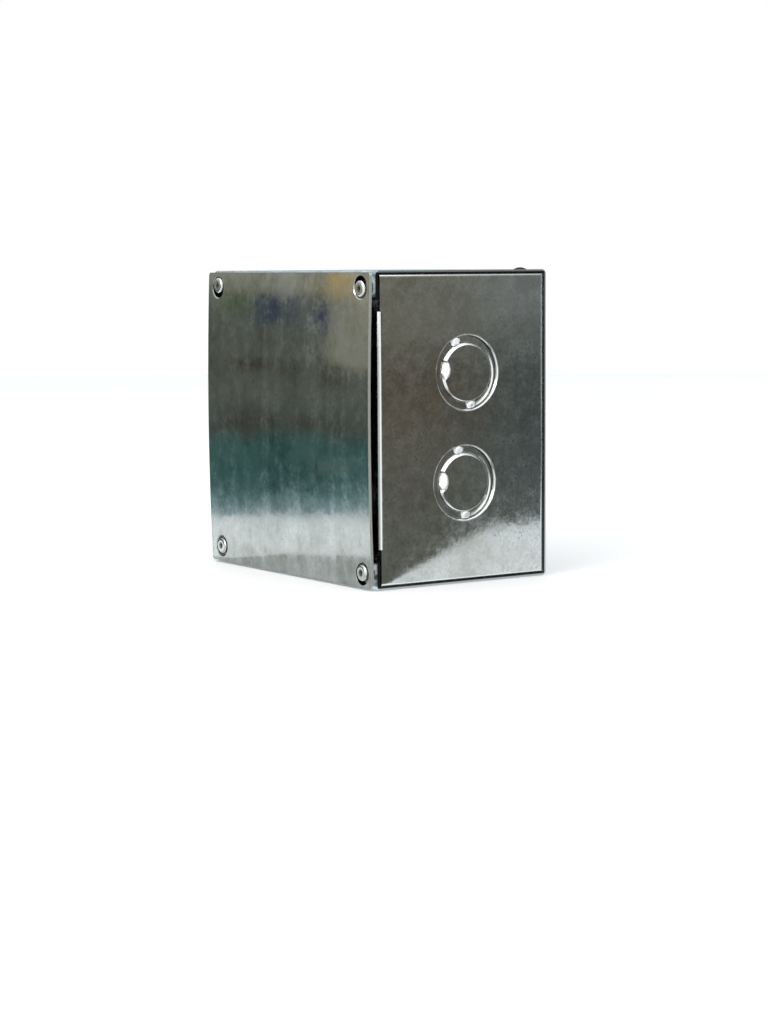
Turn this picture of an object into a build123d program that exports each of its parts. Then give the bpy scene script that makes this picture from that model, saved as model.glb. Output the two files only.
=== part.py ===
from build123d import *
import os
from math import sqrt, cos, sin, radians, pi

# Folded sheet-steel junction box, millimetres.
# Frame: +Z up, the lid faces -Y, the back (wall) face is at +Y, and the
# two end panels with the knockouts are at +X and -X.
# Origin: centre of the footprint, on the resting face.

# ---------------------------------------------------------------- dimensions
BOX_W = 106.0            # across, between the cut edges of the wrap (X)
BOX_H = 106.0            # overall height of the wrap (Z)
LID_TO_BACK = 72.6       # lid edge plane to the outer back face (Y)
SHEET = 1.0              # all pressings are 1 mm sheet
LID_BOW = 1.1            # how far the middle of the lid stands out
LID_W = 105.6
LID_H = 104.8
LID_CORNER_R = 1.2

LIP_PLANE = 2.15         # front face of the lips, behind the lid edge plane
LIP_H = 9.75             # height of each lip from the outside of the wrap
BEND_R = 1.6             # outside radius of the wrap's bends
EPS = 0.02               # seating gap between the lid and the lips

TRAY_BEND_R = 1.3        # outside radius of the end panel's bends
TRAY_FLANGE = 12.0       # depth of the end panel's side flanges
TRAY_EDGE = 3.8          # front cut edge of the end panel
FRONT_FLANGE_PLANE = 3.0
FRONT_FLANGE_R = 1.6
FRONT_FLANGE_LEN = 11.0
FRONT_FLANGE_Z = (13.5, 92.5)

KO_OUTER_R = 12.5        # 25 mm conduit entry
KO_INNER_R = 10.0        # 20 mm conduit entry
KO_GAP = 0.10            # sheared gap
KO_RECESS = 0.95         # how far the ring is pushed in
KO_TEAR = 0.22           # how far the sloping tear at the opening's rim is off centre
KO_TEAR_DEPTH = 0.75
KO_DISC_TEAR = 0.42      # the same at the rim of the disc
KO_TEAR_DIR = -48.0      # the tears are widest towards this angle, or opposite it
KO_RIM = 0.14            # least width of either tear
KO_TIE_DENT = (1.5, 3.8) # radii of the dent at the disc's bridge, floor and mouth
KO_CENTRES = {"upper": (39.1, 71.6), "lower": (37.9, 34.3)}   # (depth, height)
KO_OUTER_TIES = {"upper": (112.0, -79.0), "lower": (100.0, -85.0)}
KO_INNER_TIE = {"upper": 171.0, "lower": 174.0}

SCREW_XZ = {             # lid screw axes, seen from the front
    "top_left": (-45.7, 100.8),
    "top_right": (47.3, 100.1),
    "bottom_left": (-45.4, 6.2),
    "bottom_right": (47.3, 5.6),
}
DIMPLE_SHIFT = {         # the pressed recesses are a little off the screws
    "top_left": (-0.35, -0.55),
    "top_right": (0.0, 0.5),
    "bottom_left": (-0.3, -0.25),
    "bottom_right": (-0.1, -0.4),
}
DIMPLE_MOUTH_R = 3.8
DIMPLE_FLOOR_R = 3.5
LID_HOLE_R = 2.35        # clearance hole in the recess
SCREW_R = 1.47           # M3
SCREW_ROOT_R = 1.22
SCREW_PITCH = 0.5
SCREW_HEAD_R = 2.8
SCREW_HEAD_H = 2.0
SCREW_LEN = 8.0
TAPPED_R = 1.53
COLLAR_R = 2.35          # plunged collar round each tapped hole
COLLAR_LEN = 1.2

WALL_HOLE_R = 3.0        # wall fixing holes in the back
WALL_HOLE_PITCH = 65.0

STUD_X, STUD_DEPTH = 47.2, 65.9
STUD_R = 1.95            # M4
STUD_ROOT_R = 1.62
STUD_PITCH = 0.7
STUD_HEAD_R = 2.3
STUD_HEAD_H = 0.7
STUD_END_Z = 93.5
NUT_AF, NUT_H = 7.0, 3.2
WASHER_R = 4.0

HALF_W = BOX_W / 2
MID_Z = BOX_H / 2
Y0 = -(LID_TO_BACK - LID_BOW) / 2      # the lid edge plane in the part frame


def yy(depth):
    """Depth behind the lid edge plane -> Y in the part frame."""
    return Y0 + depth


os.makedirs("parts", exist_ok=True)
nodes = {}


def block(x0, x1, d0, d1, z0, z1):
    """Box from X, depth and Z limits."""
    b = Box(x1 - x0, d1 - d0, z1 - z0)
    return Pos((x0 + x1) / 2, yy((d0 + d1) / 2), (z0 + z1) / 2) * b


def rod_y(x, z, r, d0, d1, r2=None):
    """Cylinder or cone along Y, from depth d0 (radius r) to depth d1."""
    if r2 is None:
        s = Cylinder(r, d1 - d0)
    else:
        s = Cone(r, r2, d1 - d0)
    return Pos(x, yy((d0 + d1) / 2), z) * Rot(-90, 0, 0) * s


def rod_x(y_depth, z, r, x0, x1):
    return Pos((x0 + x1) / 2, yy(y_depth), z) * Rot(0, 90, 0) * Cylinder(r, x1 - x0)


def rod_z(x, depth, r, z0, z1):
    return Pos(x, yy(depth), (z0 + z1) / 2) * Cylinder(r, z1 - z0)


def one(shape):
    """The single solid of a shape."""
    s = shape.solids()
    if len(s) != 1:
        raise ValueError("expected one solid, got %d" % len(s))
    return s[0]


# ---------------------------------------------------------------- wrap
# One strip folded four times: top lip, top, back, bottom, bottom lip.
def yz_section(d0, d1, z0, z1, r):
    """Rounded rectangle in the YZ plane, swept over the full width."""
    sk = Rectangle(d1 - d0, z1 - z0)
    sk = fillet(sk.vertices(), r)
    pl = Plane(origin=(0, yy((d0 + d1) / 2), (z0 + z1) / 2), x_dir=(0, 1, 0), z_dir=(1, 0, 0))
    return pl * sk


outer = yz_section(LIP_PLANE, LID_TO_BACK, 0, BOX_H, BEND_R)
inner = yz_section(LIP_PLANE + SHEET, LID_TO_BACK - SHEET, SHEET, BOX_H - SHEET, BEND_R - SHEET)
wrap = extrude(outer - inner, amount=HALF_W, both=True)
wrap -= block(-HALF_W - 1, HALF_W + 1, LIP_PLANE - 1, LIP_PLANE + SHEET + 1, LIP_H, BOX_H - LIP_H)

# plunged and tapped screw holes in the lips
for sx, sz in SCREW_XZ.values():
    wrap += rod_y(sx, sz, COLLAR_R, LIP_PLANE + SHEET * 0.5, LIP_PLANE + SHEET + COLLAR_LEN)
for sx, sz in SCREW_XZ.values():
    wrap -= rod_y(sx, sz, TAPPED_R, LIP_PLANE - 1, LIP_PLANE + SHEET + COLLAR_LEN + 1)
    wrap -= rod_y(sx, sz, TAPPED_R + 0.35, LIP_PLANE - 0.01, LIP_PLANE + 0.34, TAPPED_R)

# wall fixing holes in the back
for ix in (-1, 1):
    for iz in (-1, 1):
        wrap -= rod_y(ix * WALL_HOLE_PITCH / 2, MID_Z + iz * WALL_HOLE_PITCH / 2,
                      WALL_HOLE_R, LID_TO_BACK - 3, LID_TO_BACK + 3)

# spot weld dents where the end panels' flanges are welded on
WELD_R, WELD_DEPTH, WELD_IN = 2.4, 0.15, 7.5
for side in (-1, 1):
    for d in (14.0, 33.0, 52.0):
        wrap -= rod_z(side * (HALF_W - WELD_IN), d, WELD_R, BOX_H - WELD_DEPTH, BOX_H + 1)
        wrap -= rod_z(side * (HALF_W - WELD_IN), d, WELD_R, -1, WELD_DEPTH)
    for z in (18.0, MID_Z, BOX_H - 18.0):
        wrap -= rod_y(side * (HALF_W - WELD_IN), z, WELD_R, LID_TO_BACK - WELD_DEPTH, LID_TO_BACK + 1)

# hole for the earth stud
wrap -= rod_z(STUD_X, STUD_DEPTH, STUD_R + 0.02, BOX_H - 3, BOX_H + 1)
nodes["body_wrap"] = one(wrap)


# ---------------------------------------------------------------- end panels
# A shallow tray with flanges at top, back and bottom, and a shorter
# flange at the front. The left one is the same pressing turned over.
def end_panel():
    x_out, x_in = HALF_W, HALF_W - SHEET
    d_back = LID_TO_BACK - SHEET
    z_lo, z_hi = SHEET, BOX_H - SHEET
    x_fl = HALF_W - TRAY_FLANGE
    out = block(x_fl, x_out, TRAY_EDGE, d_back, z_lo, z_hi)
    e = out.edges().filter_by(lambda k: abs(k.center().X - x_out) < 1e-3 and k.center().Y > yy(TRAY_EDGE) + 0.1)
    out = fillet(e, TRAY_BEND_R)
    hol = block(x_fl - 1, x_in, TRAY_EDGE - 1, d_back - SHEET, z_lo + SHEET, z_hi - SHEET)
    e = hol.edges().filter_by(lambda k: abs(k.center().X - x_in) < 1e-3 and k.center().Y > yy(TRAY_EDGE) + 0.1)
    hol = fillet(e, TRAY_BEND_R - SHEET)
    tray = out - hol
    # notches: behind the lips' bends, and where the flanges meet at the back
    for z0, z1 in ((z_lo - 1, z_lo + 3.0), (z_hi - 3.0, z_hi + 1)):
        tray -= block(x_fl - 1, x_in - 0.4, TRAY_EDGE - 1, TRAY_EDGE + 2.2, z0, z1)
        tray -= block(x_fl - 1, x_in - 1.2, d_back - 2.6, d_back + 1, z0, z1)
        tray -= block(x_in - 1.2, x_out + 1, d_back - 0.5, d_back + 1,
                      z0 if z0 < MID_Z else z_hi - 0.5, z1 if z1 > MID_Z else z_lo + 0.5)
    # bent front flange
    tray -= block(x_fl - 1, x_out + 1, TRAY_EDGE - 2, FRONT_FLANGE_PLANE + FRONT_FLANGE_R,
                  FRONT_FLANGE_Z[0], FRONT_FLANGE_Z[1])
    r = FRONT_FLANGE_R
    cx, cd = x_out - r, FRONT_FLANGE_PLANE + r
    z0, z1 = FRONT_FLANGE_Z
    bend = rod_z(cx, cd, r, z0, z1) - rod_z(cx, cd, r - SHEET, z0, z1)
    bend &= block(cx, x_out + 1, FRONT_FLANGE_PLANE - 1, cd, z0, z1)
    fl = block(x_out - FRONT_FLANGE_LEN, cx, FRONT_FLANGE_PLANE, FRONT_FLANGE_PLANE + SHEET, z0, z1)
    e = fl.edges().filter_by(Axis.Y).filter_by(lambda k: abs(k.center().X - (x_out - FRONT_FLANGE_LEN)) < 1e-3)
    fl = chamfer(e, 3.0)
    tray = tray + bend + fl
    # knockout openings, with the rolled-over edge of a punched hole
    for k, (d, z) in KO_CENTRES.items():
        tray -= rod_x(d, z, KO_OUTER_R, x_in - 2, x_out + 1)
        # the punch tore the rim into a slope, wider on one side
        dy, dz = KO_TEAR * cos(radians(KO_TEAR_DIR)), KO_TEAR * sin(radians(KO_TEAR_DIR))
        tray -= Pos(x_out - KO_TEAR_DEPTH / 2 + 0.01, yy(d) + dy, z + dz) * Rot(0, 90, 0) * Cone(
            KO_OUTER_R - KO_TEAR, KO_OUTER_R + KO_TEAR + KO_RIM, KO_TEAR_DEPTH + 0.02)
    return tray


def turn_over(s):
    """Half turn about the Y axis through the middle of the box."""
    return Pos(0, 0, MID_Z) * Rot(0, 180, 0) * Pos(0, 0, -MID_Z) * s


panel = end_panel()
stud_hole = rod_z(STUD_X, STUD_DEPTH, STUD_R + 0.02, BOX_H - 4, BOX_H + 1)
nodes["end_panel_right"] = one(panel - stud_hole)
nodes["end_panel_left"] = one(turn_over(panel))


# ---------------------------------------------------------------- knockouts
def ties_outer(d, z, angles):
    """Raised bridges at the rim of the ring, where it hangs on the panel."""
    out = []
    h = KO_RECESS - 0.10 + 0.3
    for a in angles:
        lump = Pos(HALF_W - KO_RECESS - 0.3 + h / 2, yy(d), z) * Rot(a, 0, 0) * Pos(
            0, KO_OUTER_R - 1.25, 0) * Rot(0, 90, 0) * Cone(2.5, 0.95, h)
        out.append(lump)
    return out


def ring(d, z, angles):
    x1 = HALF_W - KO_RECESS
    x0 = x1 - SHEET
    r = rod_x(d, z, KO_OUTER_R - KO_GAP, x0, x1) - rod_x(d, z, KO_INNER_R + KO_GAP, x0 - 1, x1 + 1)
    top = [k for k in r.edges() if abs(k.center().X - x1) < 1e-3]
    r = fillet(top, 0.18)
    for t in ties_outer(d, z, angles):
        r += t & rod_x(d, z, KO_OUTER_R - KO_GAP, x0, x1 + 3)
    return r - rod_x(d, z, KO_INNER_R + KO_GAP, x0 - 1, x1 + 3)


def disc(d, z, a):
    x1 = HALF_W
    s = rod_x(d, z, KO_INNER_R, x1 - SHEET, x1)
    # the tear round the disc is widest on the side away from the opening's
    dy, dz = KO_DISC_TEAR * cos(radians(KO_TEAR_DIR)), KO_DISC_TEAR * sin(radians(KO_TEAR_DIR))
    keep = Pos(x1 - 0.45, yy(d) + dy, z + dz) * Rot(0, 90, 0) * Cone(
        KO_INNER_R + KO_DISC_TEAR + 0.02, KO_INNER_R - KO_DISC_TEAR - KO_RIM, 0.9)
    keep += Pos(x1 - 0.9 - 0.5, yy(d) + dy, z + dz) * Rot(0, 90, 0) * Cylinder(KO_INNER_R + KO_DISC_TEAR + 0.02, 1.0)
    s = s & keep
    # bridge: the sheet is pressed down where the disc hangs on the ring
    cut = Pos(x1 - 0.33, yy(d), z) * Rot(a, 0, 0) * Pos(0, KO_INNER_R + 0.8, 0) * Rot(0, 90, 0) * Cone(*KO_TIE_DENT, 0.96)
    s = s - cut
    lug = Pos(x1 - SHEET - 0.2, yy(d), z) * Rot(a, 0, 0) * Pos(0, KO_INNER_R - 1.6, 0) * Box(0.5, 2.6, 3.4)
    return s + lug


for name, (d, z) in KO_CENTRES.items():
    rg = ring(d, z, KO_OUTER_TIES[name])
    dc = disc(d, z, KO_INNER_TIE[name])
    other = "lower" if name == "upper" else "upper"
    nodes["knockout_ring_right_" + name] = one(rg)
    nodes["knockout_disc_right_" + name] = one(dc)
    nodes["knockout_ring_left_" + other] = one(turn_over(rg))
    nodes["knockout_disc_left_" + other] = one(turn_over(dc))


# ---------------------------------------------------------------- lid
# Flat cover sprung into a slight bow, with a pressed recess at each
# corner that seats on the lip and takes the screw head.
def lid():
    half = LID_H / 2
    rad = (half ** 2 + LID_BOW ** 2) / (2 * LID_BOW)
    c_depth = rad - LID_BOW
    shell = rod_x(c_depth, MID_Z, rad, -LID_W / 2, LID_W / 2) - rod_x(
        c_depth, MID_Z, rad - SHEET, -LID_W / 2 - 1, LID_W / 2 + 1)
    plate = shell & block(-LID_W / 2, LID_W / 2, -LID_BOW - 1, 4, MID_Z - half, MID_Z + half)
    corners = [k for k in plate.edges() if abs(abs(k.center().X) - LID_W / 2) < 1e-3
               and abs(abs(k.center().Z - MID_Z) - half) < 0.5 and k.length < 3]
    plate = fillet(corners, LID_CORNER_R)
    floor_back = LIP_PLANE - EPS
    floor_front = floor_back - SHEET
    for k, (sx, sz) in SCREW_XZ.items():
        dx, dz = DIMPLE_SHIFT[k]
        cx, cz = sx + dx, sz + dz
        plate += rod_y(cx, cz, DIMPLE_MOUTH_R + 0.75, 0.45, floor_back, DIMPLE_FLOOR_R + 0.7)
    # nothing of a recess stands outside the outline of the lid
    plate &= block(-LID_W / 2, LID_W / 2, -LID_BOW - 1, 4, MID_Z - half, MID_Z + half)
    for k, (sx, sz) in SCREW_XZ.items():
        dx, dz = DIMPLE_SHIFT[k]
        cx, cz = sx + dx, sz + dz
        plate -= rod_y(cx, cz, DIMPLE_MOUTH_R + 0.12, -0.6, floor_front, DIMPLE_FLOOR_R)
        plate -= rod_y(cx, cz, DIMPLE_MOUTH_R + 0.9, -0.75, 0.0, DIMPLE_MOUTH_R - 0.02)
        plate -= rod_y(sx, sz, LID_HOLE_R, -2, 5)
    return plate


nodes["lid"] = one(lid())


# ---------------------------------------------------------------- screws
def thread_profile(root, crest, pitch, length, tip):
    """Half section (radius, distance) of a rod with ring grooves."""
    pts = [(0, 0), (root, 0), (root, 0.6)]
    z = 0.6
    while z + pitch < length - tip:
        pts += [(crest, z + pitch * 0.42), (crest, z + pitch * 0.58), (root, z + pitch)]
        z += pitch
    pts += [(root, length - tip), (root - 0.25, length), (0, length)]
    return pts


def lid_screw(sx, sz):
    """Pan head screw with a cross recess; its axis is along +Y."""
    # half section in the XZ plane, head up: Z is minus the depth
    h = SCREW_HEAD_H
    pts = thread_profile(SCREW_ROOT_R, SCREW_R, SCREW_PITCH, SCREW_LEN, 0.6)
    shank = make_face(Plane.XZ * Polyline([(r, -d) for r, d in pts] + [(0, 0)]))
    shank = revolve(shank, Axis.Z, 360)
    head = Cylinder(SCREW_HEAD_R, h, align=(Align.CENTER, Align.CENTER, Align.MIN))
    head = fillet([k for k in head.edges() if abs(k.center().Z - h) < 1e-3], 0.95)
    rec = None
    for a in (20, 110):
        w = Pos(0, 0, h - 1.3) * Rot(0, 0, a) * extrude(
            Plane.XY * Rectangle(1.7, 0.62), amount=1.4, taper=-14)
        rec = w if rec is None else rec + w
    rec += Pos(0, 0, h - 1.25) * Cone(0.45, 0.95, 1.4, align=(Align.CENTER, Align.CENTER, Align.MIN))
    s = head + shank - rec
    seat = LIP_PLANE - EPS - SHEET - EPS
    return Pos(sx, yy(seat), sz) * Rot(90, 0, 0) * s


for k, (sx, sz) in SCREW_XZ.items():
    nodes["lid_screw_" + k] = one(lid_screw(sx, sz))


# ---------------------------------------------------------------- earth terminal
# Stud clinched through the top wall and the right panel's flange.
stud_len = BOX_H - STUD_END_Z
pts = [(0, 0), (STUD_R, 0), (STUD_R, 2 * SHEET)]
z = 2 * SHEET
while z + STUD_PITCH < stud_len - 0.8:
    pts += [(STUD_ROOT_R, z + 0.05), (STUD_R, z + STUD_PITCH * 0.5), (STUD_R, z + STUD_PITCH * 0.62)]
    z += STUD_PITCH
pts += [(STUD_ROOT_R, z + 0.05), (STUD_ROOT_R, stud_len - 0.5), (STUD_ROOT_R - 0.5, stud_len), (0, stud_len)]
stud = revolve(make_face(Plane.XZ * Polyline([(r, -d) for r, d in pts] + [(0, 0)])), Axis.Z, 360)
head_rad = (STUD_HEAD_R ** 2 + STUD_HEAD_H ** 2) / (2 * STUD_HEAD_H)
dome = Pos(0, 0, STUD_HEAD_H - head_rad) * Sphere(head_rad)
dome &= Cylinder(STUD_HEAD_R + 1, STUD_HEAD_H + 1, align=(Align.CENTER, Align.CENTER, Align.MIN))
stud = stud + dome
nodes["earth_stud"] = one(Pos(STUD_X, yy(STUD_DEPTH), BOX_H) * stud)

z_top = BOX_H - 2 * SHEET            # underside of the panel's flange
STAR_T, PLAIN_T = 0.5, 0.8
star = Cylinder(WASHER_R - 0.75, STAR_T) - Cylinder(STUD_R + 0.15, STAR_T + 1)
for i in range(10):
    tooth = Rot(0, 0, 36 * i) * Pos(WASHER_R - 0.75, 0, 0) * Rot(18, 0, 0) * Box(1.5, 1.1, 0.28)
    star += tooth
star &= Cylinder(WASHER_R, STAR_T)
nodes["earth_star_washer"] = one(Pos(STUD_X, yy(STUD_DEPTH), z_top - 0.02 - STAR_T / 2) * star)

plain = Cylinder(WASHER_R, PLAIN_T) - Cylinder(STUD_R + 0.15, PLAIN_T + 1)
plain = chamfer([k for k in plain.edges() if k.length > 2 * pi * (WASHER_R - 0.1)], 0.12)
z_plain = z_top - 0.02 - STAR_T
nodes["earth_plain_washer"] = one(Pos(STUD_X, yy(STUD_DEPTH), z_plain - PLAIN_T / 2) * plain)

nut = extrude(Plane.XY * RegularPolygon(NUT_AF / 2, 6, major_radius=False), amount=NUT_H)
cone = Pos(0, 0, NUT_H / 2) * Cylinder(NUT_AF / sqrt(3) - 0.02, NUT_H)
cone = chamfer(cone.edges().filter_by(GeomType.CIRCLE), 0.32, 0.55)
nut = nut & cone
nut -= Cylinder(STUD_R + 0.06, 4 * NUT_H)
nut -= Pos(0, 0, -0.01) * Cone(STUD_R + 0.35, STUD_R + 0.06, 0.3, align=(Align.CENTER, Align.CENTER, Align.MIN))
z_nut = z_plain - PLAIN_T - 0.02
nodes["earth_nut"] = one(Pos(STUD_X, yy(STUD_DEPTH), z_nut - NUT_H) * Rot(0, 0, 12) * nut)

# ---------------------------------------------------------------- write
for name, solid in nodes.items():
    solid.label = name
    export_step(solid, "parts/%s.step" % name)
    bb = solid.bounding_box()
    print("%-28s vol %9.1f  x %.2f..%.2f  y %.2f..%.2f  z %.2f..%.2f" % (
        name, solid.volume, bb.min.X, bb.max.X, bb.min.Y, bb.max.Y, bb.min.Z, bb.max.Z))
print(len(nodes), "nodes")
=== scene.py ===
import bpy, math
from mathutils import Vector, Matrix

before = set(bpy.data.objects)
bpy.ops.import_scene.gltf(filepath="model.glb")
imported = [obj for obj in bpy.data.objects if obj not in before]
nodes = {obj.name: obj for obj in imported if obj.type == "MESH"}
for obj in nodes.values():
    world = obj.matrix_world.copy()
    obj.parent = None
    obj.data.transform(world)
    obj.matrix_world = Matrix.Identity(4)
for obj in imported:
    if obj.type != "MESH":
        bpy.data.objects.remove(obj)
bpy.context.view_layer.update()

scene = bpy.context.scene
scene.view_settings.view_transform = "Standard"
scene.view_settings.look = "None"
scene.view_settings.exposure = 0.0
scene.view_settings.gamma = 1.0


# ------------------------------------------------------------------ node helpers
class Tree:
    """Small helper for building a node tree."""

    def __init__(self, name):
        self.mat = bpy.data.materials.new(name)
        self.mat.use_nodes = True
        self.nt = self.mat.node_tree
        self.nt.nodes.clear()
        self.x = 0

    def n(self, kind, **kw):
        node = self.nt.nodes.new(kind)
        self.x += 40
        node.location = (self.x, 0)
        ins = kw.pop("ins", {})
        for k, v in kw.items():
            setattr(node, k, v)
        for k, v in ins.items():
            self.put(node, k, v)
        return node

    def put(self, node, key, v):
        sock = node.inputs[key]
        if isinstance(v, bpy.types.NodeSocket):
            self.nt.links.new(v, sock)
        else:
            sock.default_value = v

    def coords(self, scale=(1, 1, 1), rot=(0, 0, 0), loc=(0, 0, 0)):
        tc = self.n("ShaderNodeTexCoord")
        mp = self.n("ShaderNodeMapping")
        self.nt.links.new(tc.outputs["Object"], mp.inputs["Vector"])
        mp.inputs["Scale"].default_value = scale
        mp.inputs["Rotation"].default_value = rot
        mp.inputs["Location"].default_value = loc
        return mp.outputs["Vector"]

    def noise(self, vec, scale, detail=3.0, rough=0.55, dist=0.0, color=False):
        nd = self.n("ShaderNodeTexNoise", ins={"Vector": vec, "Scale": scale, "Detail": detail, "Roughness": rough, "Distortion": dist})
        return nd.outputs["Color" if color else "Fac"]

    def voronoi(self, vec, scale, feature="F1", out="Distance", rand=1.0):
        nd = self.n("ShaderNodeTexVoronoi", feature=feature, ins={"Vector": vec, "Scale": scale, "Randomness": rand})
        return nd.outputs[out]

    def remap(self, v, a, b, c=0.0, d=1.0, smooth=False):
        nd = self.n("ShaderNodeMapRange", ins={"Value": v, "From Min": a, "From Max": b, "To Min": c, "To Max": d})
        nd.interpolation_type = "SMOOTHSTEP" if smooth else "LINEAR"
        nd.clamp = True
        return nd.outputs["Result"]

    def math(self, op, a, b=0.0, clamp=False):
        nd = self.n("ShaderNodeMath", operation=op, use_clamp=clamp)
        self.put(nd, 0, a)
        self.put(nd, 1, b)
        return nd.outputs[0]

    def mix(self, f, a, b, blend="MIX"):
        nd = self.n("ShaderNodeMix", data_type="RGBA", blend_type=blend)
        self.put(nd, 0, f)
        self.put(nd, 6, a if isinstance(a, bpy.types.NodeSocket) else (*a, 1.0))
        self.put(nd, 7, b if isinstance(b, bpy.types.NodeSocket) else (*b, 1.0))
        return nd.outputs[2]

    def ramp(self, f, stops, interp="LINEAR"):
        nd = self.n("ShaderNodeValToRGB", ins={"Fac": f})
        cr = nd.color_ramp
        cr.interpolation = interp
        while len(cr.elements) > 1:
            cr.elements.remove(cr.elements[-1])
        cr.elements[0].position = stops[0][0]
        cr.elements[0].color = (*stops[0][1], 1.0)
        for p, c in stops[1:]:
            e = cr.elements.new(p)
            e.color = (*c, 1.0)
        return nd.outputs["Color"]

    def xyz(self, vec=None):
        if vec is None:
            vec = self.n("ShaderNodeTexCoord").outputs["Object"]
        s = self.n("ShaderNodeSeparateXYZ", ins={"Vector": vec})
        return s.outputs[0], s.outputs[1], s.outputs[2]

    def bump(self, height, strength, dist, normal=None):
        nd = self.n("ShaderNodeBump", ins={"Height": height, "Strength": strength, "Distance": dist})
        if normal is not None:
            self.put(nd, "Normal", normal)
        return nd.outputs["Normal"]

    def surface(self, **ins):
        p = self.n("ShaderNodeBsdfPrincipled")
        for k, v in ins.items():
            self.put(p, k.replace("_", " "), v)
        out = self.n("ShaderNodeOutputMaterial")
        self.nt.links.new(p.outputs[0], out.inputs[0])
        return p

    def emission(self, color, strength):
        e = self.n("ShaderNodeEmission", ins={"Color": color, "Strength": strength})
        out = self.n("ShaderNodeOutputMaterial")
        self.nt.links.new(e.outputs[0], out.inputs[0])


def galvanised(name, tones, seed=0.0, rough=(0.08, 0.15), streak=0.1, dull=0.1, edge=None, speck=0.5, stain=None, scale=1.0, drift=None, relief=None, weights=(0.36, 0.36, 0.28), ragged=0.4, span=(0.40, 0.60)):
    """Hot-dip zinc on rolled sheet: cloudy spangle, dull vertical streaks, drifts of dark specks."""
    t = Tree(name)
    v = t.coords(loc=(seed, seed * 0.7, seed * 1.3))
    cloud = t.noise(v, 62.0 * scale, 3.0, 0.55)
    patch = t.noise(v, 210.0 * scale, 4.0, 0.62)
    fleck = t.noise(v, 640.0 * scale, 3.0, 0.65)
    grain = t.noise(v, 1700.0, 2.0, 0.6)
    run = t.noise(t.coords(scale=(135.0, 135.0, 15.0), loc=(seed, seed, 0)), 1.0, 2.0, 0.5)
    drip = t.remap(t.math("ADD", t.math("MULTIPLY", run, 1.0 - ragged), t.math("MULTIPLY", patch, ragged)), 0.46, 0.62, smooth=True)
    mixv = t.math("ADD", t.math("MULTIPLY", cloud, weights[0]), t.math("MULTIPLY", patch, weights[1]))
    mixv = t.math("ADD", mixv, t.math("MULTIPLY", fleck, weights[2]))
    mixv = t.math("ADD", mixv, t.math("MULTIPLY", t.math("SUBTRACT", drip, 0.4), streak))
    col = t.ramp(t.remap(mixv, *span), tones)
    gr = t.remap(grain, 0.25, 0.75, 0.93, 1.06)
    comb = t.n("ShaderNodeCombineColor", ins={"Red": gr, "Green": gr, "Blue": gr}).outputs[0]
    col = t.mix(1.0, col, comb, "MULTIPLY")
    # dark pin specks in drifts
    where = t.remap(cloud, 0.44, 0.60, 0.0, 0.7, smooth=True)
    if drift is not None:
        where = t.math("MAXIMUM", where, drift(t), clamp=True)
    dark = t.math("MULTIPLY", t.remap(t.noise(v, 1050.0, 3.0, 0.7), 0.53, 0.66, smooth=True), where)
    dark = t.math("MULTIPLY", dark, t.remap(patch, 0.42, 0.58, 0.3, 1.0))
    col = t.mix(t.math("MULTIPLY", dark, speck), col, (0.17, 0.175, 0.175))
    # a few pale pin marks
    pv = t.voronoi(t.coords(loc=(seed * 2, seed, 0)), 75.0)
    pin = t.math("MULTIPLY", t.remap(pv, 0.035, 0.055, 1.0, 0.0), t.remap(patch, 0.50, 0.54))
    col = t.mix(t.math("MULTIPLY", pin, 0.6), col, (0.92, 0.92, 0.9))
    if stain is not None:
        col = stain(t, col)
    r = t.remap(t.math("ADD", t.math("MULTIPLY", patch, 0.55), t.math("MULTIPLY", fleck, 0.45)), 0.42, 0.60, rough[0], rough[1])
    r = t.math("ADD", r, t.math("MULTIPLY", drip, dull))
    r = t.math("ADD", r, t.math("ADD", t.math("MULTIPLY", pin, 0.12), t.math("MULTIPLY", dark, 0.02)), clamp=True)
    b = t.bump(cloud, 0.25, 0.0003)
    b = t.bump(t.math("ADD", fleck, t.math("MULTIPLY", grain, 0.5)), 0.08, 0.00005, b)
    if relief is not None:
        b = t.bump(relief(t), 1.0, 1.0, b)
    # edge masks: colours of cut edges and rims, with painted highlights and painted shade
    if edge is not None:
        for m, ecol, er in edge(t):
            col = t.mix(m, col, ecol)
            r = t.math("ADD", t.math("MULTIPLY", r, t.math("SUBTRACT", 1.0, m)), t.math("MULTIPLY", m, er))
    t.surface(Base_Color=col, Metallic=1.0, Roughness=r, Normal=b)
    return t.mat


def near(t, cx, cz, r0, r1):
    """1 inside radius r0 of a point on the front, 0 outside r1."""
    x, y, z = t.xyz()
    dx = t.math("SUBTRACT", x, cx)
    dz = t.math("SUBTRACT", z, cz)
    d = t.math("SQRT", t.math("ADD", t.math("MULTIPLY", dx, dx), t.math("MULTIPLY", dz, dz)))
    return t.remap(d, r0, r1, 1.0, 0.0, smooth=True)


def assign(name, mat):
    o = nodes[name]
    if not o.material_slots:
        o.data.materials.append(mat)
    for s in o.material_slots:
        s.material = mat


def soften(name, width=0.00012, segs=2, angle=28):
    """Welds the imported corners and rolls the sharp edges a little, as on punched sheet."""
    o = nodes[name]
    w = o.modifiers.new("weld", "WELD")
    w.merge_threshold = 1e-6
    b = o.modifiers.new("roll", "BEVEL")
    b.width = width
    b.segments = segs
    b.limit_method = "ANGLE"
    b.angle_limit = math.radians(angle)
    b.harden_normals = False
    b.miter_outer = "MITER_ARC"
    return o
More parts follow.
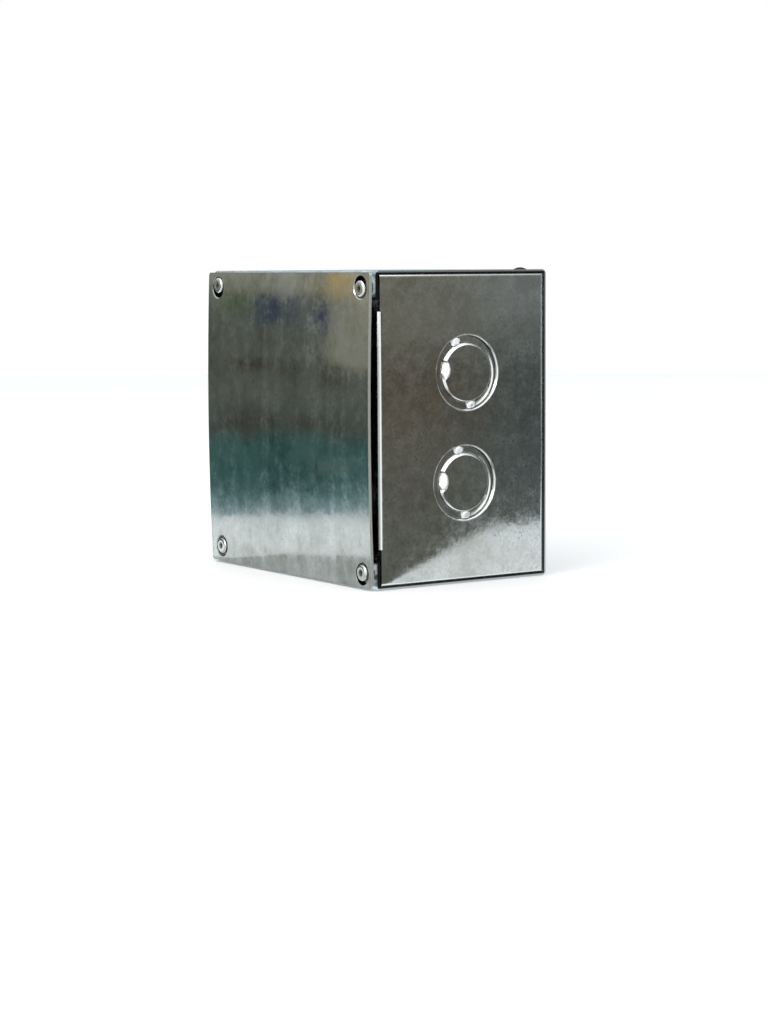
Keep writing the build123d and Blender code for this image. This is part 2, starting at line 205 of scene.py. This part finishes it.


# ------------------------------------------------------------------ materials
# zinc tones of the wrap; their bluish tint is partly painted reflection of pale blue surroundings
WRAP = [(0.0, (0.48, 0.54, 0.58)), (0.4, (0.57, 0.63, 0.67)), (0.7, (0.62, 0.68, 0.72)), (1.0, (0.70, 0.74, 0.77))]
PANEL = [(0.0, (0.50, 0.50, 0.475)), (0.35, (0.58, 0.58, 0.56)), (0.65, (0.64, 0.645, 0.635)), (1.0, (0.71, 0.725, 0.73))]
LIDC = [(0.0, (0.40, 0.41, 0.39)), (0.35, (0.53, 0.54, 0.52)), (0.65, (0.62, 0.63, 0.615)), (1.0, (0.77, 0.775, 0.765))]
# screw axis, shift of the pressed recess, and the side on which its wall is in the dark
HEADS = {"top_left": (-45.7, 100.8, -0.35, -0.55, -0.55, -0.83), "top_right": (47.3, 100.1, 0.0, 0.5, -0.15, 0.99),
         "bottom_left": (-45.4, 6.2, -0.3, -0.25, 0.97, 0.22), "bottom_right": (47.3, 5.6, -0.1, -0.4, -0.80, -0.60)}


def wrap_edge_and_gap_shade(t):
    """The cut edges of the wrap at the two ends are grey at the outer corner, with painted shade of the gap to the end
    panel on their inner part.
    """
    x, y, z = t.xyz()
    m = t.remap(t.math("ABSOLUTE", x), 0.05272, 0.05290, smooth=True)
    d = t.math("MINIMUM", t.math("MINIMUM", z, t.math("SUBTRACT", 0.106, z)), t.math("SUBTRACT", 0.03685, y))
    c = t.ramp(t.remap(d, 0.0, 0.001), [(0.48, (0.52, 0.53, 0.53)), (0.70, (0.03, 0.03, 0.03))])
    return [(m, c, 0.4)]


def lid_edge_highlight_and_shade(t):
    """Sheared edges of the lid are rough; the left and right ones carry a painted highlight, the top and bottom ones
    painted shade, and the recesses painted shade.
    """
    x, y, z = t.xyz()
    ax = t.remap(t.math("ABSOLUTE", x), 0.05262, 0.05274, smooth=True)
    az = t.remap(t.math("ABSOLUTE", t.math("SUBTRACT", z, 0.053)), 0.05228, 0.05238, smooth=True)
    return [(az, (0.10, 0.105, 0.10), 0.5), (ax, (0.92, 0.92, 0.90), 0.40)] + lid_recess_shade(t)


# knockouts of the right panel: centre, bridges of the ring, bridge of the disc, shape of its dent
KO = {"upper": (0.00335, 0.0716, (112.0, -79.0), (-0.0093, 0.0009), (0.0024, 0.0033)),
      "lower": (0.00215, 0.0343, (100.0, -85.0), (-0.0091, 0.0006), (0.0024, 0.0036))}


def ko_axes(t, side, lv, dy=0.0, dz=0.0):
    """Position across a knockout, from its axis moved by (dy, dz); the left panel is the right one turned over."""
    x, y, z = t.xyz()
    if side == "left":
        z = t.math("SUBTRACT", 0.106, z)
    return t.math("SUBTRACT", y, KO[lv][0] + dy), t.math("SUBTRACT", z, KO[lv][1] + dz)


def dist(t, a, b):
    return t.math("SQRT", t.math("ADD", t.math("MULTIPLY", a, a), t.math("MULTIPLY", b, b)))


def band(t, d, r, w, soft=0.00010):
    """1 on a circle of radius r, w wide."""
    return t.remap(t.math("ABSOLUTE", t.math("SUBTRACT", d, r)), w / 2 - soft, w / 2 + soft, 1.0, 0.0, smooth=True)


def sector(t, a, b, d, deg, half, soft=14.0):
    """1 within half a span of an angle, measured from the back towards the top."""
    c, k = math.cos(math.radians(deg)), math.sin(math.radians(deg))
    q = t.math("DIVIDE", t.math("ADD", t.math("MULTIPLY", a, c), t.math("MULTIPLY", b, k)), d)
    return t.remap(q, math.cos(math.radians(half + soft)), math.cos(math.radians(max(half - soft, 0))), smooth=True)


def ring_rim(t, side, lv):
    """The rim of the ring that was bent in when it was struck: broad at the lower back, narrow higher up; the mask of
    its relief and of its painted highlight.
    """
    a, b = ko_axes(t, side, lv, -0.0004, -0.0006)
    d = dist(t, a, b)
    thin = t.math("MULTIPLY", band(t, d, 0.0117, 0.00085), sector(t, a, b, d, -15.0, 58.0))
    wide = t.math("MULTIPLY", band(t, d, 0.0120, 0.0021, 0.0003), sector(t, a, b, d, -52.0, 20.0, 10.0))
    return t.math("MAXIMUM", thin, wide), d


def disc_dent(t, side, lv):
    """The oval dent at the disc's bridge; the mask of its relief and of its painted highlight."""
    cy, cz = KO[lv][3]
    ry, rz = KO[lv][4]
    a, b = ko_axes(t, side, lv, cy, cz)
    m = t.remap(dist(t, t.math("DIVIDE", a, ry), t.math("DIVIDE", b, rz)), 0.80, 1.04, 1.0, 0.0, smooth=True)
    return t.math("MULTIPLY", m, t.remap(dist(t, *ko_axes(t, side, lv)), 0.0102, 0.0105, 1.0, 0.0))


def ring_bridge(t, a, b, deg):
    """The twisted bridge of the ring at an angle, longer along the ring than across it; the mask of its relief and of
    its painted highlight.
    """
    c, k = math.cos(math.radians(deg)), math.sin(math.radians(deg))
    p, q = t.math("SUBTRACT", a, 0.01125 * c), t.math("SUBTRACT", b, 0.01125 * k)
    u = t.math("DIVIDE", t.math("SUBTRACT", t.math("MULTIPLY", q, c), t.math("MULTIPLY", p, k)), 0.0022)
    v = t.math("DIVIDE", t.math("ADD", t.math("MULTIPLY", p, c), t.math("MULTIPLY", q, k)), 0.00125)
    return t.remap(dist(t, u, v), 0.80, 1.08, 1.0, 0.0, smooth=True), p


def panel_rim_highlight_and_shade(side):
    def marks(t):
        """Outlines of the punched openings and the tears in their walls: painted shade on the lower part of the walls,
        painted highlights on the upper part and on the outline of each opening.
        """
        x, y, z = t.xyz()
        ax = t.math("ABSOLUTE", x)
        low = t.math("MULTIPLY", t.remap(ax, 0.05272, 0.05266, smooth=True), t.remap(ax, 0.05208, 0.05214, smooth=True))
        top = t.math("MULTIPLY", t.remap(ax, 0.05297, 0.05290, smooth=True), t.remap(ax, 0.05266, 0.05272, smooth=True))
        out = [(t.math("MULTIPLY", low, 0.9), (0.42, 0.43, 0.43), 0.25), (t.math("MULTIPLY", top, 0.9), (0.93, 0.93, 0.92), 0.26)]
        for lv in KO:
            a, b = ko_axes(t, side, lv, 0.00015, -0.00016)
            m = band(t, dist(t, a, b), 0.01298, 0.00034)
            out.append((t.math("MULTIPLY", m, t.remap(t.noise(t.coords(loc=(1, 2, 3)), 160.0), 0.35, 0.6, 0.45, 0.95)), (0.92, 0.925, 0.92), 0.46))
        return out
    return marks


def ko_rim_highlights(side):
    def marks(t):
        """Painted highlights on the rims, bridges and dents of the rings and discs."""
        x, y, z = t.xyz()
        ax = t.math("ABSOLUTE", x)
        m = t.math("MULTIPLY", t.remap(ax, 0.05297, 0.05290, smooth=True), t.remap(ax, 0.05208, 0.05214, smooth=True))
        out = [(t.math("MULTIPLY", m, 0.9), (0.93, 0.93, 0.92), 0.24)]
        for lv in KO:
            a, b = ko_axes(t, side, lv)
            d = dist(t, a, b)
            out.append((t.math("MULTIPLY", band(t, d, 0.00975, 0.00026), 0.6), (0.90, 0.90, 0.89), 0.46))
            out.append((ring_rim(t, side, lv)[0], (0.95, 0.95, 0.94), 0.26))
            for deg in KO[lv][2]:
                out.append((t.math("MULTIPLY", ring_bridge(t, a, b, deg)[0], 0.95), (0.95, 0.96, 0.97), 0.34))
            out.append((disc_dent(t, side, lv), (0.97, 0.965, 0.95), 0.30))
        return out
    return marks


def ko_relief(side):
    def height(t):
        """Slopes of the bent rim, of the dent and of the bridges."""
        h = 0.0
        for lv in KO:
            a, b = ko_axes(t, side, lv)
            d = dist(t, a, b)
            rim, dr = ring_rim(t, side, lv)
            h = t.math("ADD", t.math("MULTIPLY", t.math("MULTIPLY", rim, 0.55), t.math("SUBTRACT", dr, 0.0119)), h)
            h = t.math("ADD", t.math("MULTIPLY", t.math("MULTIPLY", disc_dent(t, side, lv), -0.55), t.math("SUBTRACT", d, 0.0082)), h)
            for deg in KO[lv][2]:
                k, across_y = ring_bridge(t, a, b, deg)
                h = t.math("ADD", t.math("MULTIPLY", t.math("MULTIPLY", k, 0.40), across_y), h)
        return h
    return height


def lid_recess_shade(t):
    """Painted shade in the pressed recesses: a mid-grey wall round each screw head, painted black on one side as shade.
    """
    x, y, z = t.xyz()
    out = []
    for sx, sz, dx, dz, ux, uz in HEADS.values():
        k = near(t, (sx + dx) / 1000, (sz + dz) / 1000, 0.00378, 0.00392)
        out.append((t.math("MULTIPLY", k, 0.85), (0.36, 0.36, 0.35), 0.38))
        side = t.math("ADD", t.math("MULTIPLY", t.math("SUBTRACT", x, sx / 1000), ux), t.math("MULTIPLY", t.math("SUBTRACT", z, sz / 1000), uz))
        out.append((t.math("MULTIPLY", k, t.remap(side, 0.0014, 0.0024, smooth=True)), (0.006, 0.006, 0.006), 0.6))
    return out


def panel_drift(t):
    """Specks gather low on the side towards the back."""
    x, y, z = t.xyz()
    w = t.math("ADD", t.remap(y, -0.010, 0.020), t.remap(z, 0.060, 0.025))
    w = t.math("MULTIPLY", t.remap(w, 0.75, 1.6), t.remap(z, 0.012, 0.022))
    return t.math("MULTIPLY", w, 0.9)


m_wrap = galvanised("zinc_wrap", WRAP, seed=1.7, speck=0.25, edge=wrap_edge_and_gap_shade, rough=(0.14, 0.24))
m_panel = {k: galvanised("zinc_panel_" + k, PANEL, seed=4.3, rough=(0.07, 0.13), streak=0.02, dull=0.02, speck=0.8, scale=1.15, edge=panel_rim_highlight_and_shade(k), drift=panel_drift) for k in ("right", "left")}
m_lid = galvanised("zinc_lid", LIDC, seed=8.1, rough=(0.07, 0.15), streak=0.07, dull=0.05, speck=0.35, edge=lid_edge_highlight_and_shade, weights=(0.42, 0.38, 0.20), ragged=0.22, span=(0.34, 0.66))
m_ko = {k: galvanised("zinc_knockout_" + k, [(p, tuple(min(1.0, q * 1.07) for q in c)) for p, c in PANEL], seed=4.3, rough=(0.07, 0.13), streak=0.02, dull=0.02, speck=0.4, scale=1.15, edge=ko_rim_highlights(k), relief=ko_relief(k)) for k in ("right", "left")}

t = Tree("bright_zinc_screw")
v = t.coords()
n1 = t.noise(v, 900.0, 3.0)
col = t.ramp(t.remap(n1, 0.3, 0.7), [(0.0, (0.74, 0.735, 0.70)), (1.0, (0.90, 0.90, 0.88))])
r = t.remap(n1, 0.3, 0.7, 0.14, 0.3)
x, y, z = t.xyz()
front = t.remap(y, -0.030, -0.025, 1.0, 0.0)
for sx, sz, dx, dz, ux, uz in HEADS.values():
    # painted shade in the cross recess
    k = t.math("MULTIPLY", near(t, sx / 1000, sz / 1000, 0.0007, 0.0015), front)
    k = t.math("MULTIPLY", k, t.remap(n1, 0.35, 0.6, 0.75, 1.0))
    col = t.mix(k, col, (0.12, 0.115, 0.10))
    r = t.math("ADD", r, t.math("MULTIPLY", k, 0.15), clamp=True)
t.surface(Base_Color=col, Metallic=1.0, Roughness=r, Normal=t.bump(t.noise(v, 3000.0), 0.15, 0.00004))
m_screw = t.mat

t = Tree("dark_stud_steel")
v = t.coords()
n1 = t.noise(v, 700.0, 4.0)
col = t.ramp(t.remap(n1, 0.3, 0.7), [(0.0, (0.012, 0.012, 0.012)), (1.0, (0.03, 0.029, 0.028))])
t.surface(Base_Color=col, Metallic=0.0, Roughness=t.remap(n1, 0.3, 0.7, 0.80, 0.95), Specular_IOR_Level=0.1, Normal=t.bump(t.noise(v, 2600.0), 0.2, 0.00005))
m_stud = t.mat

t = Tree("turned_brass")
v = t.coords()
n1 = t.noise(v, 500.0, 4.0)
turn = t.noise(t.coords(scale=(300, 300, 5200)), 1.0, 2.0)
col = t.ramp(t.remap(n1, 0.3, 0.7), [(0.0, (0.62, 0.44, 0.18)), (1.0, (0.83, 0.66, 0.34))])
t.surface(Base_Color=col, Metallic=1.0, Roughness=t.remap(turn, 0.3, 0.7, 0.18, 0.34), Normal=t.bump(turn, 0.3, 0.00004))
m_brass = t.mat

assign("body_wrap", m_wrap)
assign("lid", m_lid)
for side in ("right", "left"):
    assign("end_panel_" + side, m_panel[side])
    for lv in ("upper", "lower"):
        assign("knockout_ring_%s_%s" % (side, lv), m_ko[side])
        assign("knockout_disc_%s_%s" % (side, lv), m_ko[side])
for k in ("top_left", "top_right", "bottom_left", "bottom_right"):
    assign("lid_screw_" + k, m_screw)
assign("earth_stud", m_stud)
assign("earth_star_washer", m_screw)
assign("earth_plain_washer", m_brass)
assign("earth_nut", m_brass)
for n in nodes:
    if n.startswith(("body_wrap", "end_panel")):
        soften(n, 0.00014)
    elif n.startswith("knockout"):
        soften(n, 0.00006)

# ------------------------------------------------------------------ floor
def new_mesh(name, verts, faces):
    me = bpy.data.meshes.new(name)
    me.from_pydata(verts, [], faces)
    me.update()
    o = bpy.data.objects.new(name, me)
    scene.collection.objects.link(o)
    return o


floor = new_mesh("floor", [(-6, -6, -0.0002), (6, -6, -0.0002), (6, 6, -0.0002), (-6, 6, -0.0002)], [(0, 1, 2, 3)])
t = Tree("pale_floor")
v = t.coords()
col = t.ramp(t.noise(v, 3.0, 3.0), [(0.3, (0.785, 0.79, 0.795)), (0.7, (0.82, 0.82, 0.82))])
t.surface(Base_Color=col, Roughness=0.6)
floor.data.materials.append(t.mat)


# ------------------------------------------------------------------ reflected surroundings
def glossy_only(o, mat):
    o.data.materials.append(mat)
    o.visible_camera = False
    o.visible_diffuse = False
    o.visible_shadow = False
    o.visible_transmission = False
    o.visible_volume_scatter = False
    return o


def upright(name, p0, p1, z0, z1, mat):
    """Upright card between two floor points, seen only in reflections."""
    return glossy_only(new_mesh(name, [(p0[0], p0[1], z0), (p1[0], p1[1], z0), (p1[0], p1[1], z1), (p0[0], p0[1], z1)], [(0, 1, 2, 3)]), mat)


def flat(name, pts, z, mat):
    """Sheet lying on the floor, seen only in reflections."""
    o = new_mesh(name, [(x / 1000, y / 1000, z) for x, y in pts], [tuple(range(len(pts)))])
    return glossy_only(o, mat)


# left: what stands in front of the lid
t = Tree("room_left")
x, y, z = t.xyz()
soft = t.noise(t.coords(loc=(3.0, 1.0, 2.0)), 45.0, 3.0, 0.6)
fine = t.noise(t.coords(scale=(140, 140, 60), loc=(5, 0, 1)), 1.0, 3.0, 0.6)
zz = t.math("ADD", z, t.math("MULTIPLY", t.math("SUBTRACT", soft, 0.5), 0.012))
zz = t.math("ADD", zz, t.math("MULTIPLY", t.math("SUBTRACT", fine, 0.5), 0.007))
col = t.ramp(t.math("DIVIDE", zz, 0.2), [
    (0.0, (0.34, 0.45, 0.48)), (0.025, (0.21, 0.34, 0.37)), (0.05, (0.12, 0.22, 0.235)), (0.085, (0.062, 0.145, 0.14)),
    (0.17, (0.055, 0.125, 0.117)), (0.195, (0.088, 0.103, 0.092)), (0.28, (0.122, 0.139, 0.118)),
    (0.44, (0.125, 0.143, 0.120)), (0.49, (0.17, 0.185, 0.15)), (0.53, (0.29, 0.30, 0.24)), (0.57, (0.36, 0.36, 0.31)), (0.75, (0.48, 0.49, 0.47)), (1.0, (0.7, 0.72, 0.74))])
along = t.math("ADD", t.math("MULTIPLY", x, 0.7493), t.math("MULTIPLY", y, -0.6622))


def window(a0, a1, z0, z1, sa=0.002, sz=0.003):
    """1 inside a soft-edged rectangle of the card."""
    m = t.math("MULTIPLY", t.remap(along, a0 - sa, a0 + sa, smooth=True), t.remap(along, a1 + sa, a1 - sa, smooth=True))
    return t.math("MULTIPLY", m, t.math("MULTIPLY", t.remap(zz, z0 - sz, z0 + sz, smooth=True), t.remap(zz, z1 + sz, z1 - sz, smooth=True)))


patchy = t.remap(fine, 0.40, 0.56, 0.35, 1.0, smooth=True)
for a0, a1, z0, z1, c, k in (
        (-0.0041, 0.060, 0.070, 0.112, (0.40, 0.39, 0.32), 0.85),
        (-0.0030, 0.0060, 0.102, 0.125, (0.72, 0.46, 0.09), 1.0),
        (-0.0290, -0.0185, 0.100, 0.125, (0.46, 0.47, 0.43), 0.7),
        (-0.0500, -0.0370, 0.094, 0.104, (0.12, 0.175, 0.085), 0.7),
        (-0.0359, -0.0159, 0.088, 0.101, (0.045, 0.068, 0.13), 1.0),
        (-0.0133, -0.0029, 0.084, 0.100, (0.050, 0.072, 0.13), 0.9),
        (-0.0470, -0.0170, 0.067, 0.073, (0.070, 0.060, 0.048), 0.9),
        (-0.0060, 0.0040, 0.062, 0.070, (0.075, 0.065, 0.052), 0.9),
        (-0.0500, -0.0240, 0.040, 0.047, (0.060, 0.055, 0.045), 0.9),
        (-0.0170, 0.0030, 0.038, 0.046, (0.065, 0.062, 0.052), 0.8),
        (-0.0330, -0.0200, 0.026, 0.035, (0.022, 0.075, 0.066), 0.9),
        (-0.0180, -0.0110, 0.024, 0.034, (0.100, 0.200, 0.190), 0.7),
        (-0.0480, -0.0010, 0.020, 0.025, (0.030, 0.090, 0.082), 0.8),
        (-0.0350, -0.0080, 0.011, 0.015, (0.030, 0.095, 0.090), 0.8),
        (-0.0080, 0.0050, 0.021, 0.025, (0.40, 0.46, 0.40), 0.4)):
    col = t.mix(t.math("MULTIPLY", t.math("MULTIPLY", window(a0, a1, z0, z1), patchy), k), col, c)
t.emission(col, 1.0)
upright("card_left", (-0.418, 0.129), (0.055, -0.289), 0.0, 0.45, t.mat)

# the floor close to the lid is in its shade
t = Tree("shade_left")
v = t.coords()
col = t.ramp(t.noise(v, 60.0, 3.0), [(0.3, (0.50, 0.54, 0.53)), (0.7, (0.57, 0.61, 0.60))])
t.emission(col, 1.0)
flat("shade_left", [(-120, -36), (-75, -38), (-51, -43), (-40, -61), (-12, -74), (40, -100), (90, -130), (56, -36.5)], -0.0001, t.mat)

# the floor all round is a little cooler and dimmer than the sky
t = Tree("cool_floor")
v = t.coords()
t.emission(t.ramp(t.noise(v, 30.0, 3.0), [(0.3, (0.89, 0.97, 0.985)), (0.7, (0.96, 1.03, 1.04))]), 1.0)
flat("cool_floor", [(-700, -700), (900, -700), (900, 900), (-700, 900)], -0.00015, t.mat)

# right: a dim floor beyond a slanting line, and a dim wall behind it
def dimmer(t, col, vec_scale, seed):
    k = t.remap(t.noise(t.coords(loc=(seed, seed, seed)), vec_scale, 4.0, 0.6), 0.3, 0.7, 0.80, 1.18)
    return t.mix(1.0, col, t.n("ShaderNodeCombineColor", ins={"Red": k, "Green": k, "Blue": k}).outputs[0], "MULTIPLY")


def across(t, x, y):
    return t.remap(t.math("ADD", t.math("MULTIPLY", x, -0.58), t.math("MULTIPLY", y, 0.81)), -0.052, 0.012, smooth=True)


t = Tree("dim_floor")
x, y, z = t.xyz()
far = t.remap(t.math("ADD", t.math("MULTIPLY", x, 0.81), t.math("MULTIPLY", y, 0.58)), 0.12, 0.75)
ca = t.ramp(far, [(0.0, (0.150, 0.160, 0.138)), (0.35, (0.140, 0.142, 0.120)), (0.7, (0.145, 0.142, 0.118)), (1.0, (0.145, 0.135, 0.108))])
cb = t.ramp(far, [(0.0, (0.18, 0.21, 0.21)), (0.3, (0.135, 0.168, 0.168)), (0.55, (0.102, 0.130, 0.131)), (1.0, (0.100, 0.124, 0.121))])
t.emission(dimmer(t, t.mix(across(t, x, y), ca, cb), 24.0, 0.0), 1.0)
flat("dim_floor_right", [(52, -37), (60, -26), (106, 24), (140, 61), (168, 92), (190, 116), (197, 128), (186, 142), (150, 330), (355, 774), (885, 46), (110, -45)], 0.0004, t.mat)
t = Tree("dim_wall")
x, y, z = t.xyz()
zz = t.math("ADD", z, t.math("MULTIPLY", t.math("SUBTRACT", t.noise(t.coords(loc=(2, 2, 2)), 14.0, 3.0), 0.5), 0.03))
ca = t.ramp(zz, [(0.0, (0.142, 0.128, 0.102)), (0.02, (0.132, 0.114, 0.089)), (0.043, (0.124, 0.106, 0.083)), (0.055, (0.155, 0.150, 0.122)),
                 (0.070, (0.232, 0.232, 0.192)), (0.12, (0.245, 0.247, 0.205)), (0.2, (0.29, 0.29, 0.25)), (0.5, (0.50, 0.51, 0.50)), (0.9, (0.8, 0.82, 0.84))])
cb = t.ramp(zz, [(0.0, (0.088, 0.109, 0.107)), (0.03, (0.094, 0.115, 0.112)), (0.05, (0.120, 0.144, 0.136)), (0.065, (0.150, 0.170, 0.166)),
                 (0.082, (0.225, 0.252, 0.252)), (0.12, (0.26, 0.285, 0.285)), (0.2, (0.30, 0.32, 0.32)), (0.5, (0.50, 0.52, 0.53)), (0.9, (0.8, 0.82, 0.84))])
t.emission(dimmer(t, t.mix(across(t, x, y), ca, cb), 16.0, 3.0), 1.0)
upright("dim_wall_right", (0.885, 0.046), (0.355, 0.774), 0.0, 1.0, t.mat)

# behind: a pale blue wall that the top of the box mirrors
t = Tree("blue_wall")
v = t.coords()
t.emission(t.ramp(t.noise(v, 4.0, 3.0), [(0.3, (0.22, 0.38, 0.47)), (0.7, (0.30, 0.46, 0.55))]), 1.0)
upright("blue_wall_back", (-1.60, 0.42), (-0.95, 1.40), 0.0, 0.7, t.mat)

# ------------------------------------------------------------------ light
world = bpy.data.worlds.new("studio")
scene.world = world
world.use_nodes = True
bg = world.node_tree.nodes["Background"]
bg.inputs["Color"].default_value = (1.0, 1.0, 1.0, 1.0)
bg.inputs["Strength"].default_value = 1.0


def area(name, loc, target, size, power, color=(1, 1, 1)):
    l = bpy.data.lights.new(name, "AREA")
    l.shape = "RECTANGLE"
    l.size, l.size_y = size
    l.energy = power
    l.color = color
    o = bpy.data.objects.new(name, l)
    scene.collection.objects.link(o)
    o.location = loc
    d = Vector(target) - Vector(loc)
    o.rotation_euler = d.to_track_quat("-Z", "Y").to_euler()
    return o


area("key", (0.45, -1.1, 0.75), (0, 0, 0.05), (0.7, 0.5), 6.0)
sun = bpy.data.lights.new("sky_fill", "SUN")
sun.energy = 1.1
sun.angle = 1.6
so = bpy.data.objects.new("sky_fill", sun)
scene.collection.objects.link(so)
so.rotation_euler = (0.25, 0.15, 0.0)

# ------------------------------------------------------------------ camera
cam = bpy.data.cameras.new("camera")
cam.sensor_fit = "AUTO"
cam.sensor_width = 36.0
cam.lens = 84.801
cam.clip_start = 0.01
cam.clip_end = 50.0
co = bpy.data.objects.new("camera", cam)
scene.collection.objects.link(co)
right = Vector((0.558344, 0.829585, -0.006436))
up = Vector((-0.081385, 0.062493, 0.994722))
back = Vector((0.825608, -0.554873, 0.102409))
m = Matrix((right, up, back)).transposed().to_4x4()
m.translation = Vector((0.714382, -0.475371, 0.108233))
co.matrix_world = m
scene.camera = co
